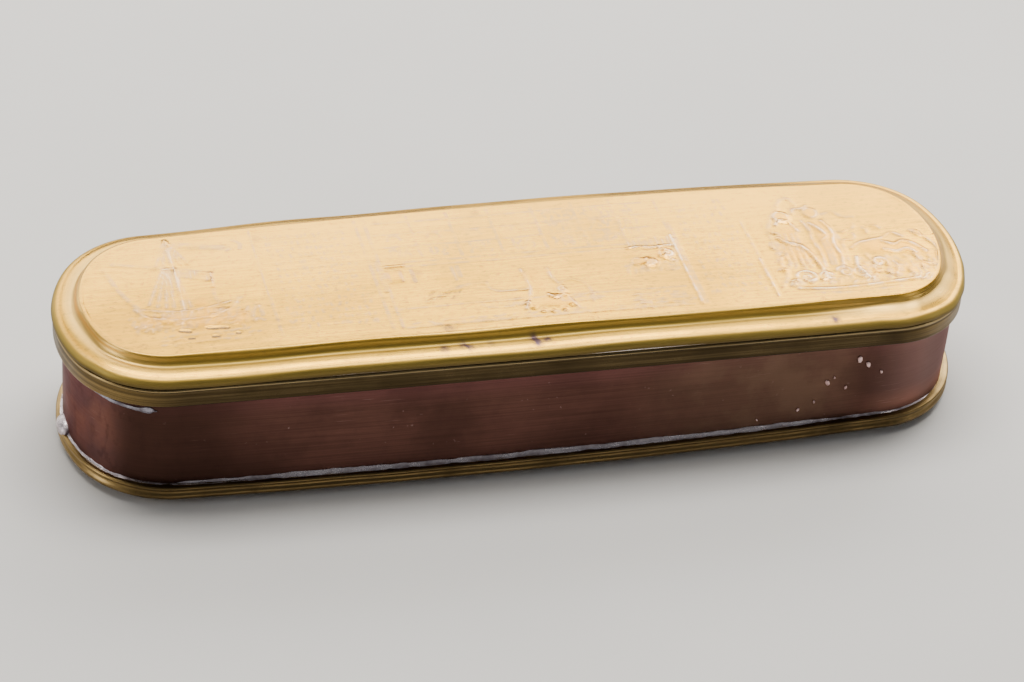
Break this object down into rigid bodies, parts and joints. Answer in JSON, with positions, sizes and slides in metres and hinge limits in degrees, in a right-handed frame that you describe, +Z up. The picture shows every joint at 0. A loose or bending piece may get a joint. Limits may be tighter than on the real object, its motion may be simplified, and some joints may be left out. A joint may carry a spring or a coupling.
{
  "type": "needle case",
  "caption": "Long, low, round-ended box for sewing needles: copper side wall, brass base and mouldings, and an embossed brass lid hinged along the back.",
  "frame": {"origin": "centre of the flat underside that the case rests on", "axes": "+X along the box, +Y towards the hinge at the back, +Z up through the lid"},
  "size_m": [0.165, 0.0485, 0.029],
  "materials": {
    "lid_brass": "worn, softly polished",
    "rim_brass": "aged, drawn",
    "base_brass": "aged, tarnished",
    "hinge_brass": "aged",
    "side_copper": "dark patina, fine scratches",
    "grey_solder": "dull, uneven"
  },
  "bodies": {
    "case": {"side_band": "side_copper", "seam_solder": "grey_solder", "base_pan": "base_brass", "base_rim_band": "base_brass", "base_solder": "grey_solder", "case_hinge_leaf": "hinge_brass", "case_hinge_solder": "grey_solder", "case_knuckle_1": "hinge_brass", "case_knuckle_2": "hinge_brass", "case_knuckle_3": "hinge_brass", "case_knuckle_4": "hinge_brass", "hinge_pin": "hinge_brass"},
    "lid": {"lid_cover": "lid_brass", "lid_rim_band": "rim_brass", "lid_rim_solder": "grey_solder", "lid_hinge_leaf": "hinge_brass", "lid_hinge_solder": "grey_solder", "lid_knuckle_1": "hinge_brass", "lid_knuckle_2": "hinge_brass", "lid_knuckle_3": "hinge_brass"}
  },
  "joints": [
    {"name": "lid_hinge", "type": "hinge", "parent": "case", "child": "lid", "pos_m": [0, 0.0236, 0.0198], "axis": [-1, 0, 0], "range_deg": [0, 110]}
  ]
}
